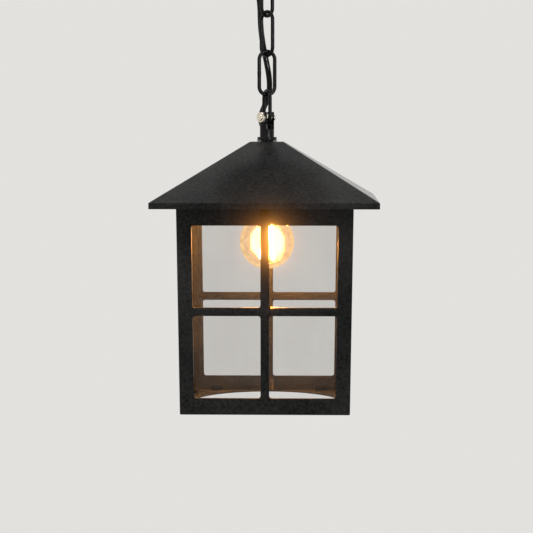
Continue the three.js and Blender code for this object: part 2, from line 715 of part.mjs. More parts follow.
// A globe and neck as a thin shell, open where the cap closes it.
function lampGlobe() {
  const outline = (radius, neckR) => {
    const joinAngle = Math.acos((neckR + 0.6) / radius);
    const steps = 10;
    const arc = Array.from({ length: steps + 1 }, (_, i) => {
      const angle = THREE.MathUtils.lerp(joinAngle, -Math.PI / 2, i / steps);
      const r = i === steps ? 0 : radius * Math.cos(angle);
      return [r, LAMP_MIDDLE + radius * Math.sin(angle)];
    });
    return [[neckR, CAP_RIM + 3], [neckR, arc[0][1] + 3], ...arc];
  };
  const outside = outline(LAMP_R, NECK_R);
  const inside = outline(LAMP_R - LAMP_GLASS, NECK_R - LAMP_GLASS).reverse();
  return turned([...outside, ...inside, outside[0]], 24);
}

function lampCap() {
  const ridges = 4;
  const length = CAP_TOP - 2 - (CAP_RIM + 6);
  const thread = Array.from({ length: 2 * ridges + 1 }, (_, i) => [
    i % 2 === 0 ? CAP_R - 0.9 : CAP_R,
    CAP_TOP - 2 - (length * i) / (2 * ridges),
  ]);
  return turned(
    [
      [5.5, CAP_TOP], [11, CAP_TOP], ...thread, [CAP_R, CAP_RIM + 4.6], [CAP_R, CAP_RIM],
      [NECK_R + GAP, CAP_RIM], [NECK_R + GAP, CAP_RIM + 3.6], [11.2, CAP_RIM + 4.6],
      [11.2, CAP_TOP - 2.6], [10.4, CAP_TOP - 0.8], [5.5, CAP_TOP - 0.8], [5.5, CAP_TOP],
    ],
    20,
  );
}

place('lamp_globe', lampGlobe(), lampGlass);
place('lamp_cap', lampCap(), nickel);
place(
  'lamp_contact',
  turned(
    [
      [0, LAMP_TIP], [3.6, LAMP_TIP - 0.6], [4.6, LAMP_TIP - 1.4], [8.5, CAP_TOP + GAP],
      [5.2, CAP_TOP + GAP], [5.2, CAP_TOP - 2.4], [0, CAP_TOP - 2.4],
    ],
    20,
  ),
  brass,
);
const mountFoot = -70;
place(
  'lamp_mount',
  turned(
    [
      [0, -44], [2, -44], [2.6, -48], [9.8, -52.5], [9.8, -53.5], [3.4, -57], [2.4, -60],
      [2, mountFoot], [0, mountFoot],
    ],
    16,
  ),
  lampGlass,
);

// Light-emitting rods lean round the mount, from its foot to just above the globe's bottom.
const FILAMENTS = 4;
for (let i = 0; i < FILAMENTS; i += 1) {
  const angle = radians(30) + (2 * Math.PI * i) / FILAMENTS;
  const lean = radians(22);
  const top = new THREE.Vector3(4.4 * Math.cos(angle), 4.4 * Math.sin(angle), -67);
  const foot = new THREE.Vector3(6.6 * Math.cos(angle + lean), 6.6 * Math.sin(angle + lean), -97);
  const rod = tube(new THREE.LineCurve3(top, foot), 0.9, 8, 1);
  place(`lamp_filament_${i + 1}`, rod, glow);
}

export default lantern;
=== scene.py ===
"""Looks of a square hanging lantern with a pyramid roof, on a chain with a supply cable beside it."""

import json
import math

import bmesh
import bpy
from mathutils import Matrix, Vector

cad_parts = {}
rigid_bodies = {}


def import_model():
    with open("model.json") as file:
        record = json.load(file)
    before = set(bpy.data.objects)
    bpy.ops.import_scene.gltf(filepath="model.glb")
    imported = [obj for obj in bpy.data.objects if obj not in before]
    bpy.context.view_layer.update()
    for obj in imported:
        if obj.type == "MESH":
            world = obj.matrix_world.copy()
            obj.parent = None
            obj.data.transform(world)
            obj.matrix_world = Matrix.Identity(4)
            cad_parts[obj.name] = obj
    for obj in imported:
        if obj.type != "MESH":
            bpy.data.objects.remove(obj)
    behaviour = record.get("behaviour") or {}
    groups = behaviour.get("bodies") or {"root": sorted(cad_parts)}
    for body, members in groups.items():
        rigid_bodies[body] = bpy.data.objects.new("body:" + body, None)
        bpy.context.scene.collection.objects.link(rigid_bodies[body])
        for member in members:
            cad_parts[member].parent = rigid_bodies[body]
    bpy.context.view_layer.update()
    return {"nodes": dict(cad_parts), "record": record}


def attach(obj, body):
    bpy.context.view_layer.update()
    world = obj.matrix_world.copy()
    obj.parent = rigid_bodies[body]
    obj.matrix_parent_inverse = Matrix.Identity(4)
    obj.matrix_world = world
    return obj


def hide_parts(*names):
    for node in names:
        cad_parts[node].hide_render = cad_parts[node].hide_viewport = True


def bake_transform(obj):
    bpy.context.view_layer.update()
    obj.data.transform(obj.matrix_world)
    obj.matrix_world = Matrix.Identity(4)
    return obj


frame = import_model()

MM = 0.001
ROOF_TOP = -180.0  # mm; heights below are measured from the roof's flat top unless said otherwise
scene = bpy.context.scene
scene.view_settings.view_transform = "Standard"
scene.view_settings.look = "None"


def at(x, y, z):
    """A point given in mm, with its height from the roof's flat top, in the row frame in metres."""
    return Vector((x * MM, y * MM, (z + ROOF_TOP) * MM))


# ---- camera ---------------------------------------------------------------------------------------

CAMERA_DISTANCE = 1.57
CAMERA_HEIGHT = 21  # mm above the roof's flat top
CAMERA_YAW = math.radians(1.5)
CAMERA_TURN = math.radians(0.015)  # aims it a little to the left of the lantern's middle
CAMERA_PITCH = math.radians(4.53)
LENS = 128.3
camera = bpy.data.objects.new("camera", bpy.data.cameras.new("camera"))
scene.collection.objects.link(camera)
camera.data.lens = LENS
camera.data.sensor_width = 36
camera.data.dof.use_dof = False
camera.location = (
    CAMERA_DISTANCE * math.sin(CAMERA_YAW),
    -CAMERA_DISTANCE * math.cos(CAMERA_YAW),
    (ROOF_TOP + CAMERA_HEIGHT) * MM,
)
camera.rotation_euler = (math.radians(90) - CAMERA_PITCH, 0, CAMERA_YAW + CAMERA_TURN)
scene.camera = camera

# ---- materials ------------------------------------------------------------------------------------


class Nodes:
    """Shorthand for building one material's nodes."""

    def __init__(self, name):
        self.material = bpy.data.materials.new(name)
        self.material.use_nodes = True
        self.tree = self.material.node_tree
        self.tree.nodes.clear()
        self.out = self.add("ShaderNodeOutputMaterial")
        self.coords = self.add("ShaderNodeTexCoord").outputs["Object"]

    def add(self, kind, inputs=None, **settings):
        node = self.tree.nodes.new(kind)
        for key, value in settings.items():
            setattr(node, key, value)
        for key, value in (inputs or {}).items():
            self.set(node.inputs[key], value)
        return node

    def set(self, socket, value):
        if isinstance(value, bpy.types.NodeSocket):
            self.tree.links.new(value, socket)
        else:
            socket.default_value = value

    def noise(self, scale, detail=3.0, rough=0.5, stretch=None):
        coords = self.coords
        if stretch:
            coords = self.add("ShaderNodeMapping", {"Vector": coords, "Scale": stretch}).outputs["Vector"]
        node = self.add(
            "ShaderNodeTexNoise",
            {"Vector": coords, "Scale": scale, "Detail": detail, "Roughness": rough},
        )
        return node.outputs["Fac"]

    def ramp(self, value, low, high, start=0.3, end=0.7):
        """value, between start and end, mapped onto low to high."""
        node = self.add(
            "ShaderNodeMapRange",
            {"Value": value, "From Min": start, "From Max": end, "To Min": low, "To Max": high},
        )
        return node.outputs["Result"]

    def blend(self, share, low, high):
        """A colour between low and high."""
        node = self.add("ShaderNodeMix", data_type="RGBA")
        self.set(node.inputs["Factor"], share)
        self.set(node.inputs["A"], (*low, 1) if isinstance(low, tuple) else low)
        self.set(node.inputs["B"], (*high, 1) if isinstance(high, tuple) else high)
        return node.outputs["Result"]

    def bump(self, height, strength, depth):
        node = self.add("ShaderNodeBump", {"Height": height, "Strength": strength, "Distance": depth})
        return node.outputs["Normal"]

    def sheen(self):
        """How much clear glass reflects, the same from inside and outside."""
        facing = self.add("ShaderNodeLayerWeight", {"Blend": 0.5}).outputs["Facing"]
        steep = self.add("ShaderNodeMath", {0: facing, 1: 5.0}, operation="POWER").outputs[0]
        return self.ramp(steep, 0.012, 0.8, 0.0, 1.0)

    def surface(self, shader):
        self.set(self.out.inputs["Surface"], shader)
        return self.material


def coated(name, dark, light, rough, grain, bump=0.2, depth=0.0001, specular=0.5, metallic=0.0, **more):
    """A finish with a fine grain and slow patches in its colour and gloss."""
    n = Nodes(name)
    fine = n.noise(grain, 2.0, 0.6)
    slow = n.noise(grain / 25, 3.0)
    both = n.add("ShaderNodeMath", {0: fine, 1: slow}, operation="ADD").outputs[0]
    share = n.ramp(both, 0.0, 1.0, 0.7, 1.3)
    inputs = {
        "Base Color": n.blend(share, dark, light),
        "Roughness": n.ramp(slow, rough - 0.05, rough + 0.06),
        "Metallic": metallic,
        "Specular IOR Level": specular,
        "Normal": n.bump(fine, bump, depth),
    }
    inputs.update(more)
    shader = n.add("ShaderNodeBsdfPrincipled", inputs)
    return n.surface(shader.outputs["BSDF"])


def brushed(name, dark, light, rough, stretch):
    """A metal with fine lines along one direction."""
    n = Nodes(name)
    lines = n.noise(1500.0, 3.0, 0.6, stretch)
    patches = n.noise(160.0, 3.0)
    shader = n.add(
        "ShaderNodeBsdfPrincipled",
        {
            "Base Color": n.blend(n.ramp(patches, 0.0, 1.0), dark, light),
            "Roughness": n.ramp(lines, rough - 0.06, rough + 0.1),
            "Metallic": 1.0,
            "Normal": n.bump(lines, 0.12, 0.00005),
        },
    )
    return n.surface(shader.outputs["BSDF"])


def pane_glass():
    n = Nodes("pane_glass")
    smears = n.ramp(n.noise(35.0, 4.0, 0.6, (1.0, 1.0, 0.5)), 0.0, 1.0)
    tint = n.blend(smears, (0.905, 0.9, 0.895), (0.925, 0.922, 0.915))
    clear = n.add("ShaderNodeBsdfTransparent", {"Color": tint})
    gloss = n.add(
        "ShaderNodeBsdfGlossy",
        {"Color": (1, 1, 1, 1), "Roughness": n.ramp(smears, 0.02, 0.06, 0.0, 1.0)},
    )
    mix = n.add("ShaderNodeMixShader", {0: n.sheen(), 1: clear.outputs[0], 2: gloss.outputs[0]})
    return n.surface(mix.outputs[0])


def lamp_glass():
    n = Nodes("lamp_glass")
    seeds = n.ramp(n.noise(260.0, 2.0), 0.0, 1.0)
    tint = n.blend(seeds, (0.97, 0.9, 0.8), (1.0, 0.95, 0.88))
    clear = n.add("ShaderNodeBsdfTransparent", {"Color": tint})
    rough = n.ramp(seeds, 0.03, 0.08, 0.0, 1.0)
    gloss = n.add("ShaderNodeBsdfGlossy", {"Color": (1, 0.93, 0.82, 1), "Roughness": rough})
    glass = n.add("ShaderNodeMixShader", {0: n.sheen(), 1: clear.outputs[0], 2: gloss.outputs[0]})
    # Painted glow: the glass itself gives off warm light, a little all over and most towards its rim, standing
    # in for the filaments' light caught and bent in the glass.
    facing = n.add("ShaderNodeLayerWeight", {"Blend": 0.5}).outputs["Facing"]
    painted_rim_glow_share = n.ramp(facing, 0.09, 0.8, 0.5, 1.0)
    colour = n.blend(n.ramp(facing, 0.0, 1.0, 0.5, 0.95), (1.0, 0.82, 0.5), (1.0, 0.62, 0.22))
    painted_glow = n.add("ShaderNodeEmission", {"Color": colour, "Strength": n.ramp(seeds, 0.85, 1.3, 0.2, 0.8)})
    mix = n.add("ShaderNodeMixShader", {0: painted_rim_glow_share, 1: glass.outputs[0], 2: painted_glow.outputs[0]})
    return n.surface(mix.outputs[0])


def glow():
    n = Nodes("glow")
    grains = n.ramp(n.noise(900.0, 2.0), 0.0, 1.0)
    shader = n.add(
        "ShaderNodeEmission",
        {"Color": n.blend(grains, (1.0, 0.6, 0.24), (1.0, 0.7, 0.36)), "Strength": 40.0},
    )
    return n.surface(shader.outputs[0])


# A coat with a low index, so that the cast paint shines only where it is seen edge on.
EDGE_SHINE = {"Coat Weight": 1.0, "Coat IOR": 1.1, "Coat Roughness": 0.16}

# dark and light colour, roughness, grains per metre, bump and its depth in metres, gloss
COATED = {
    "black_casting": ((0.001, 0.001, 0.0012), (0.024, 0.0235, 0.023), 0.68, 450.0, 0.9, 0.0004, 0.1),
    "black_paint": ((0.001, 0.001, 0.0012), (0.006, 0.006, 0.0062), 0.3, 900.0, 0.08, 0.0001, 0.16),
    "black_chain": ((0.001, 0.001, 0.0012), (0.005, 0.005, 0.0052), 0.28, 700.0, 0.1, 0.0001, 0.14),
    "black_rubber": ((0.006, 0.006, 0.006), (0.018, 0.018, 0.018), 0.72, 1200.0, 0.3, 0.0001, 0.25),
    "cable_sheath": ((0.001, 0.001, 0.0011), (0.004, 0.004, 0.0042), 0.14, 350.0, 0.15, 0.0002, 0.16),
    "holder_plastic": ((0.008, 0.008, 0.008), (0.018, 0.018, 0.018), 0.45, 1500.0, 0.2, 0.00008, 0.35),
    "ceramic": ((0.7, 0.66, 0.58), (0.8, 0.77, 0.7), 0.3, 700.0, 0.1, 0.00008, 0.5),
    "silicone": ((0.003, 0.0025, 0.002), (0.008, 0.0065, 0.005), 0.85, 600.0, 0.15, 0.0001, 0.05),
}

# dark and light colour, roughness, how far the brushed lines are squeezed along each axis
BRUSHED = {
    "nickel": ((0.74, 0.66, 0.53), (0.83, 0.77, 0.67), 0.24, (1.0, 1.0, 8.0)),
    "zinc": ((0.42, 0.43, 0.45), (0.6, 0.61, 0.62), 0.38, (1.0, 6.0, 1.0)),
    "brass": ((0.6, 0.4, 0.15), (0.75, 0.55, 0.24), 0.3, (1.0, 6.0, 1.0)),
}

MATERIALS = {"pane_glass": pane_glass(), "lamp_glass": lamp_glass(), "glow": glow()}
for slot, finish in BRUSHED.items():
    MATERIALS[slot] = brushed(slot, *finish)
for slot, finish in COATED.items():
    MATERIALS[slot] = coated(slot, *finish, **(EDGE_SHINE if slot == "black_casting" else {}))


def finished(obj, slot, body, *nodes):
    """Gives a piece its material, slot and body, and lets it stand for CAD nodes."""
    obj.data.materials.clear()
    obj.data.materials.append(MATERIALS[slot])
    if body:
        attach(obj, body)
    if nodes:
        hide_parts(*nodes)
    return obj


# ---- mesh helpers ---------------------------------------------------------------------------------


class Shape:
    """Collects points in mm and faces, then makes one mesh object in metres."""

    def __init__(self):
        self.points = []
        self.faces = []

    def loop(self, points):
        first = len(self.points)
        self.points.extend(tuple(p) for p in points)
        return list(range(first, len(self.points)))

    def bridge(self, a, b, closed=True):
        count = len(a)
        for i in range(count if closed else count - 1):
            j = (i + 1) % count
            self.faces.append((a[i], a[j], b[j], b[i]))

    def cap(self, a, flip=False):
        self.faces.append(tuple(reversed(a)) if flip else tuple(a))

    def skin(self, loops, closed=True, around=False):
        rows = [self.loop(loop) for loop in loops]
        for a, b in zip(rows, rows[1:]):
            self.bridge(a, b, closed)
        if around:
            self.bridge(rows[-1], rows[0], closed)
        return rows

    def object(self, name, sharp=32, roof_frame=True):
        shift = ROOF_TOP if roof_frame else 0.0
        mesh = bpy.data.meshes.new(name)
        mesh.from_pydata([(x * MM, y * MM, (z + shift) * MM) for x, y, z in self.points], [], self.faces)
        tidy = bmesh.new()
        tidy.from_mesh(mesh)
        bmesh.ops.remove_doubles(tidy, verts=tidy.verts, dist=2e-6)
        bmesh.ops.dissolve_degenerate(tidy, edges=tidy.edges, dist=1e-6)
        bmesh.ops.recalc_face_normals(tidy, faces=tidy.faces)
        tidy.to_mesh(mesh)
        tidy.free()
        mesh.shade_smooth()
        mesh.set_sharp_from_angle(angle=math.radians(sharp))
        obj = bpy.data.objects.new(name, mesh)
        scene.collection.objects.link(obj)
        return obj


def filleted(profile, radius, closed=False, steps=4):
    """A profile with its corners rounded; radius is a number or one number for each point."""
    count = len(profile)
    radii = radius if isinstance(radius, (list, tuple)) else [radius] * count
    out = []
    for i, corner in enumerate(profile):
        here = Vector(corner)
        if not closed and i in (0, count - 1) or radii[i] <= 0:
            out.append(tuple(here))
            continue
        before = Vector(profile[i - 1]) - here
        after = Vector(profile[(i + 1) % count]) - here
        if before.length < 1e-6 or after.length < 1e-6:
            out.append(tuple(here))
            continue
        half = before.angle(after) / 2
        if half > math.radians(88):
            out.append(tuple(here))
            continue
        reach = min(radii[i] / math.tan(half), 0.45 * before.length, 0.45 * after.length)
        start = here + before.normalized() * reach
        end = here + after.normalized() * reach
        for k in range(steps + 1):
            t = k / steps
            out.append(tuple(start * (1 - t) ** 2 + here * 2 * t * (1 - t) + end * t**2))
    return out


def turned(shape, profile, segments=64, centre=(0.0, 0.0)):
    """Adds a profile of (radius, height) turned about an upright axis."""
    loops = []
    for r, z in profile:
        if r < 1e-6:
            loops.append([(centre[0], centre[1], z)] * segments)
            continue
        loops.append(
            [
                (
                    centre[0] + r * math.cos(2 * math.pi * i / segments),
                    centre[1] + r * math.sin(2 * math.pi * i / segments),
                    z,
                )
                for i in range(segments)
            ]
        )
    shape.skin(loops)


def lathe(name, profile, radius=0.25, segments=64, centre=(0.0, 0.0), closed=False):
    """A turned piece with rounded edges. A closed profile makes a ring."""
    shape = Shape()
    points = filleted(profile, radius, closed)
    if closed:
        points = points + points[:1]
    turned(shape, points, segments, centre)
    return shape.object(name)


def box(shape, low, high):
    """Adds a plain box, to be rounded by a bevel."""
    (x0, y0, z0), (x1, y1, z1) = low, high
    foot = shape.loop([(x0, y0, z0), (x1, y0, z0), (x1, y1, z0), (x0, y1, z0)])
    top = shape.loop([(x0, y0, z1), (x1, y0, z1), (x1, y1, z1), (x0, y1, z1)])
    shape.bridge(foot, top)
    shape.cap(foot, True)
    shape.cap(top)


def bevelled(obj, width, segments=3, angle=35):
    """Rounds the edges of a mesh for good."""
    modifier = obj.modifiers.new("bevel", "BEVEL")
    modifier.width = width * MM
    modifier.segments = segments
    modifier.limit_method = "ANGLE"
    modifier.angle_limit = math.radians(angle)
    modifier.harden_normals = False
    return settled(obj)


def settled(obj):
    """Turns the modifiers' result into the mesh itself."""
    graph = bpy.context.evaluated_depsgraph_get()
    mesh = bpy.data.meshes.new_from_object(obj.evaluated_get(graph))
    obj.modifiers.clear()
    old = obj.data
    obj.data = mesh
    bpy.data.meshes.remove(old)
    mesh.shade_smooth()
    mesh.set_sharp_from_angle(angle=math.radians(32))
    return obj


def without(obj, *cutters):
    """Takes cutters away from a mesh."""
    for cutter in cutters:
        modifier = obj.modifiers.new("cut", "BOOLEAN")
        modifier.operation = "DIFFERENCE"
        modifier.solver = "EXACT"
        modifier.object = cutter
    settled(obj)
    for cutter in cutters:
        bpy.data.objects.remove(cutter)
    return obj


def turn(obj, azimuth, lift=0.0, along_x=False):
    """Turns a mesh about the upright axis, after laying its axis along X if asked, and lifts it, in mm."""
    matrix = Matrix.Translation((0, 0, lift * MM)) @ Matrix.Rotation(math.radians(azimuth), 4, "Z")
    if along_x:
        matrix = matrix @ Matrix.Rotation(math.pi / 2, 4, "Y")
    obj.data.transform(matrix)
    return obj


# ---- supply cable ---------------------------------------------------------------------------------

CABLE_R = 2.35
CABLE_ROUTE = [
    (-19, 1, 161.5), (-19, 1, 153), (-19, 1, 145.5), (-17.8, 1.4, 138.5), (-14.2, 2.7, 131.5),
    (-9.9, 4.6, 125), (-6.8, 6.4, 117.5), (-5.9, 7.7, 110), (-5.7, 8.6, 102.5), (-5.4, 9.4, 95),
    (-4.6, 9.6, 87), (-3.4, 9.7, 79), (-1.8, 9.7, 71), (-0.2, 9.8, 63), (1.1, 10, 55.5),
    (1.8, 10.3, 48), (1.5, 10.8, 41), (-0.2, 11.3, 34.5), (-2.7, 11.5, 28.5), (-4.7, 10.9, 23),
    (-5.3, 9.4, 18.3), (-4.4, 6.9, 14.2), (-2.75, 3.95, 10.8), (-1.25, 1.75, 7.2), (-0.4, 0.5, 2.5),
    (0, 0, -3), (0, 0, -8.5), (0, 0, -14.5),
]
CABLE_CUTS = (117.5, 87.5, 57.5, 28)


def smooth_route(points, steps=14):
    """Centripetal Catmull-Rom through the points."""
    knots = [Vector(p) for p in points]
    knots = [2 * knots[0] - knots[1], *knots, 2 * knots[-1] - knots[-2]]
    out = []
    for a, b, c, d in zip(knots, knots[1:], knots[2:], knots[3:]):
        t0 = 0.0
        t1 = t0 + math.sqrt((b - a).length)
        t2 = t1 + math.sqrt((c - b).length)
        t3 = t2 + math.sqrt((d - c).length)
        for k in range(steps):
            t = t1 + (t2 - t1) * k / steps
            a1 = a * ((t1 - t) / (t1 - t0)) + b * ((t - t0) / (t1 - t0))
            a2 = b * ((t2 - t) / (t2 - t1)) + c * ((t - t1) / (t2 - t1))
            a3 = c * ((t3 - t) / (t3 - t2)) + d * ((t - t2) / (t3 - t2))
            b1 = a1 * ((t2 - t) / (t2 - t0)) + a2 * ((t - t0) / (t2 - t0))
            b2 = a2 * ((t3 - t) / (t3 - t1)) + a3 * ((t - t1) / (t3 - t1))
            out.append(b1 * ((t2 - t) / (t2 - t1)) + b2 * ((t - t1) / (t2 - t1)))
    out.append(knots[-2])
    return out


def split_route(route, cuts):
    """The route in stretches that end exactly at the cut heights."""
    stretches, current = [], [route[0]]
    left = list(cuts)
    for a, b in zip(route, route[1:]):
        if left and b.z <= left[0] < a.z:
            cut = a.lerp(b, (a.z - left.pop(0)) / (a.z - b.z))
            stretches.append([*current, cut])
            current = [cut]
        if (b - current[-1]).length > 0.01:
            current.append(b)
    return [*stretches, current]


def tube_along(shape, line, radius, sides=24, capped=(True, True)):
    """Adds a round tube along a line of points in mm, without twist."""
    heading = (line[1] - line[0]).normalized()
    side = heading.orthogonal().normalized()
    loops = []
    for i, point in enumerate(line):
        ahead = line[min(i + 1, len(line) - 1)]
        behind = line[max(i - 1, 0)]
        tangent = (ahead - behind).normalized()
        side = (side - tangent * side.dot(tangent)).normalized()
        other = tangent.cross(side)
        loops.append(
            [
                point + (side * math.cos(a) + other * math.sin(a)) * radius
                for a in (2 * math.pi * k / sides for k in range(sides))
            ]
        )
    rows = shape.skin(loops)
    if capped[0]:
        shape.cap(rows[0], True)
    if capped[1]:
        shape.cap(rows[-1])


stretches = split_route(smooth_route(CABLE_ROUTE), CABLE_CUTS)
for number, line in enumerate(stretches, 1):
    shape = Shape()
    tube_along(shape, line, CABLE_R)
    cable = shape.object(f"cable_{number}.fine")
    finished(cable, "cable_sheath", None, f"cable_{number}")
    start, end = at(*line[0]), at(*line[-1])
    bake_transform(cable)

# ---- chain and hanging loop -----------------------------------------------------------------------

WIRE_R = 1.55
CHAIN = [
    # azimuth, wire heights at the bottom and the top, width between the two side wires
    (-66, 15.6, 41.7, 12.9),
    (19, 38.35, 73.95, 13.3),
    (-45, 70.6, 106.2, 13.3),
    (50, 102.85, 138.45, 13.3),
]


def ring_line(low, high, across, arc_steps=20, rod_steps=10):
    """The middle of a link's wire, in the XZ plane, in mm."""
    bend = across / 2
    if high - low - across < 0.01:
        rod_steps = 1  # a round ring has no straight sides
    points = []
    for end, sign in ((high - bend, 1), (low + bend, -1)):
        for k in range(arc_steps + 1):
            a = math.pi * k / arc_steps
            points.append((sign * bend * math.cos(a), end + sign * bend * math.sin(a)))
        if end == high - bend:
            rods = [(-bend, high - bend - (high - low - across) * k / rod_steps) for k in range(1, rod_steps)]
            points.extend(rods)
    points.extend((bend, low + bend + (high - low - across) * k / rod_steps) for k in range(1, rod_steps))
    return points


def ring(shape, low, high, across, radius, weld=0.0, sides=20):
    """Adds a closed wire ring; weld is how much the wire swells in the middle of one side."""
    line = ring_line(low, high, across)
    middle = (low + high) / 2
    loops = []
    for i, (x, z) in enumerate(line):
        (xa, za), (xb, zb) = line[i - 1], line[(i + 1) % len(line)]
        tangent = Vector((xb - xa, 0, zb - za)).normalized()
        outward = Vector((-tangent.z, 0, tangent.x))
        swell = weld * math.exp(-(((z - middle) / 1.1) ** 2)) if x < 0 else 0.0
        r = radius + swell
        loops.append(
            [
                Vector((x, 0, z)) + outward * (r * math.cos(a)) + Vector((0, 1, 0)) * (r * math.sin(a))
                for a in (2 * math.pi * k / sides for k in range(sides))
            ]
        )
    shape.skin(loops, around=True)


for number, (azimuth, low, high, across) in enumerate(CHAIN, 1):
    shape = Shape()
    ring(shape, low, high, across, WIRE_R, weld=0.14)
    link = turn(shape.object(f"link_{number}.wire"), azimuth)
    finished(link, "black_chain", f"link_{number}", f"chain_link_{number}")

loop = Shape()
ring(loop, 135.1, 148.1, 13.0, WIRE_R)
LOOP_SHANK = [
    (0, 175.5), (3, 175.5), (3, 153.7), (6.5, 153.7), (6.5, 151.7), (3.2, 150.7), (3.2, 148.1), (0, 148.1),
]
turned(loop, filleted(LOOP_SHANK, 0.3), 48)
finished(turn(loop.object("canopy_loop.ring"), -35), "black_paint", "ceiling_rose", "canopy_loop")

# ---- ceiling rose, heights from the ceiling --------------------------------------------------------

CANOPY_PROFILE = [
    (48.5, 179.4), (50, 179.4), (50, 164), (48.5, 160.5), (45, 158), (36, 155.2), (12, 154), (0, 154),
    (0, 155.5), (12, 155.5), (35.5, 156.7), (44, 159.6), (47.2, 161.8), (48.5, 164.6), (48.5, 179.4),
]
canopy = lathe(
    "canopy.cup", CANOPY_PROFILE, [0, 0.5, 5, 3, 4, 6, 3, 0, 0, 3, 6, 3, 2, 4, 0], segments=112
)
finished(canopy, "black_paint", "ceiling_rose", "canopy")
for name, side in (("left", -1), ("right", 1)):
    screw = lathe(
        f"canopy_screw_{name}.head",
        [(0, 52.3), (2.4, 52.3), (3.6, 51.1), (3.6, 50.3), (1.7, 50.3), (1.7, 40), (0, 40)],
        0.35,
        40,
    )
    screw.data.transform(Matrix.Translation((0, 0, -ROOF_TOP * MM)))
    slot_cut = Shape()
    box(slot_cut, (-4, -0.45, 51.6), (4, 0.45, 53))
    cutter = slot_cut.object("cutter", roof_frame=False)
    without(screw, cutter)
    screw.data.transform(Matrix.Translation((0, 0, -9 * MM)) @ Matrix.Rotation(side * math.pi / 2, 4, "Y"))
    finished(screw, "black_paint", "ceiling_rose", f"canopy_screw_{name}")

GLAND = (-19.0, 1.0)
gland = lathe(
    "cable_gland.nut",
    [
        (2.75, 162), (4.6, 162), (4.6, 153.7), (7.5, 153.7), (7.5, 149.5), (6, 146), (4.4, 144.5),
        (2.75, 144.5),
    ],
    [0.3, 0.3, 0.1, 0.5, 0.8, 1.5, 0.6, 0.4],
    72,
    GLAND,
    closed=True,
)
finished(gland, "black_rubber", "ceiling_rose", "cable_gland")

# ---- hanging stem, bolt and nut ---------------------------------------------------------------------

BOLT_HEIGHT = 19.9
SLOT_AZIMUTH = 140
stem = lathe(
    "hanger_stem.body",
    [
        (4.4, 24.4), (5.9, 24.4), (5.9, 3.8), (8, 3.8), (8, 1.2), (5, 1.2), (5, -17), (3.3, -17),
        (3.3, -1), (4.4, 3),
    ],
    [0.3, 0.5, 0.25, 0.45, 0.25, 0.1, 0.4, 0.3, 0.3, 0.3],
    96,
    closed=True,
)
HALF_SLOT = 4.45  # wide enough for the lowest link to stay clear as the lantern swings
slot_front = Shape()
box(slot_front, (-7, -HALF_SLOT, 10.4), (7, HALF_SLOT, 26))
slot_rear = Shape()
box(slot_rear, (0.02, -HALF_SLOT + 0.01, 5.2), (7.1, HALF_SLOT - 0.01, 26.1))
cross_hole = Shape()
turned(cross_hole, [(0, -8), (2.7, -8), (2.7, 8), (0, 8)], 40)
hole_cutter = cross_hole.object("cutter_hole", roof_frame=False)
hole_cutter.data.transform(
    Matrix.Translation((0, 0, (ROOF_TOP + BOLT_HEIGHT) * MM)) @ Matrix.Rotation(math.pi / 2, 4, "X")
)
without(stem, slot_front.object("cutter_front"), slot_rear.object("cutter_rear"), hole_cutter)
bevelled(stem, 0.18, 2, 50)
finished(turn(stem, SLOT_AZIMUTH), "black_paint", "lantern", "hanger_stem")


def across_bolt(obj):
    """Moves a piece made about the upright axis at height 0 onto the cross bolt's axis."""
    obj.data.transform(
        Matrix.Translation((0, 0, (ROOF_TOP + BOLT_HEIGHT) * MM))
        @ Matrix.Rotation(math.radians(SLOT_AZIMUTH - 90), 4, "Z")
        @ Matrix.Rotation(math.pi / 2, 4, "Y")
        @ Matrix.Translation((0, 0, -ROOF_TOP * MM))
    )
    return obj


def hexagon(shape, flats, low, high, hole, chamfer=0.5):
    """Adds a hexagonal nut with chamfered corners."""
    count = 96
    loops = []
    apothem = flats / 2
    corner_r = flats / math.sqrt(3)

    def outline(limit, z):
        points = []
        for i in range(count):
            a = 2 * math.pi * i / count
            r = min(apothem / math.cos((a + math.pi / 6) % (math.pi / 3) - math.pi / 6), limit)
            points.append((r * math.cos(a), r * math.sin(a), z))
        return points

    def circle(r, z):
        return [
            (r * math.cos(2 * math.pi * i / count), r * math.sin(2 * math.pi * i / count), z)
            for i in range(count)
        ]

    loops.append(circle(hole, low + 0.3))
    loops.append(circle(hole + 0.3, low))
    loops.append(circle(apothem * 0.96, low))
    for k in range(4):
        limit = apothem + (corner_r - apothem) * (k + 0.5) / 4
        loops.append(outline(limit, low + chamfer * (k + 0.5) / 4))
    loops.append(outline(corner_r * 0.985, low + chamfer))
    loops.append(outline(corner_r * 0.985, high - chamfer))
    for k in reversed(range(4)):
        limit = apothem + (corner_r - apothem) * (k + 0.5) / 4
        loops.append(outline(limit, high - chamfer * (k + 0.5) / 4))
    loops.append(circle(apothem * 0.96, high))
    loops.append(circle(hole + 0.3, high))
    loops.append(circle(hole, high - 0.3))
    shape.skin(loops, around=True)


head = lathe(
    "hanger_bolt.shank",
    [(0, 7.8), (2.7, 7.8), (3.1, 7.4), (3.1, 6.2), (2.5, 6.2), (2.5, -9), (0, -9)],
    [0, 0.4, 0.4, 0.2, 0.1, 0.5, 0],
    56,
)
finished(across_bolt(head), "nickel", "lantern", "hanger_bolt")
nut = Shape()
hexagon(nut, 8, -8.4, -6.2, 2.6)
finished(across_bolt(nut.object("hanger_nut.hex", 25)), "nickel", "lantern", "hanger_nut")
gasket = lathe("stem_gasket.ring", [(5.3, 0.25), (8.2, 0.25), (8.2, 0.95), (5.3, 0.95)], 0.2, 72, closed=True)
finished(gasket, "black_rubber", "lantern", "stem_gasket")

# ---- roof -------------------------------------------------------------------------------------------


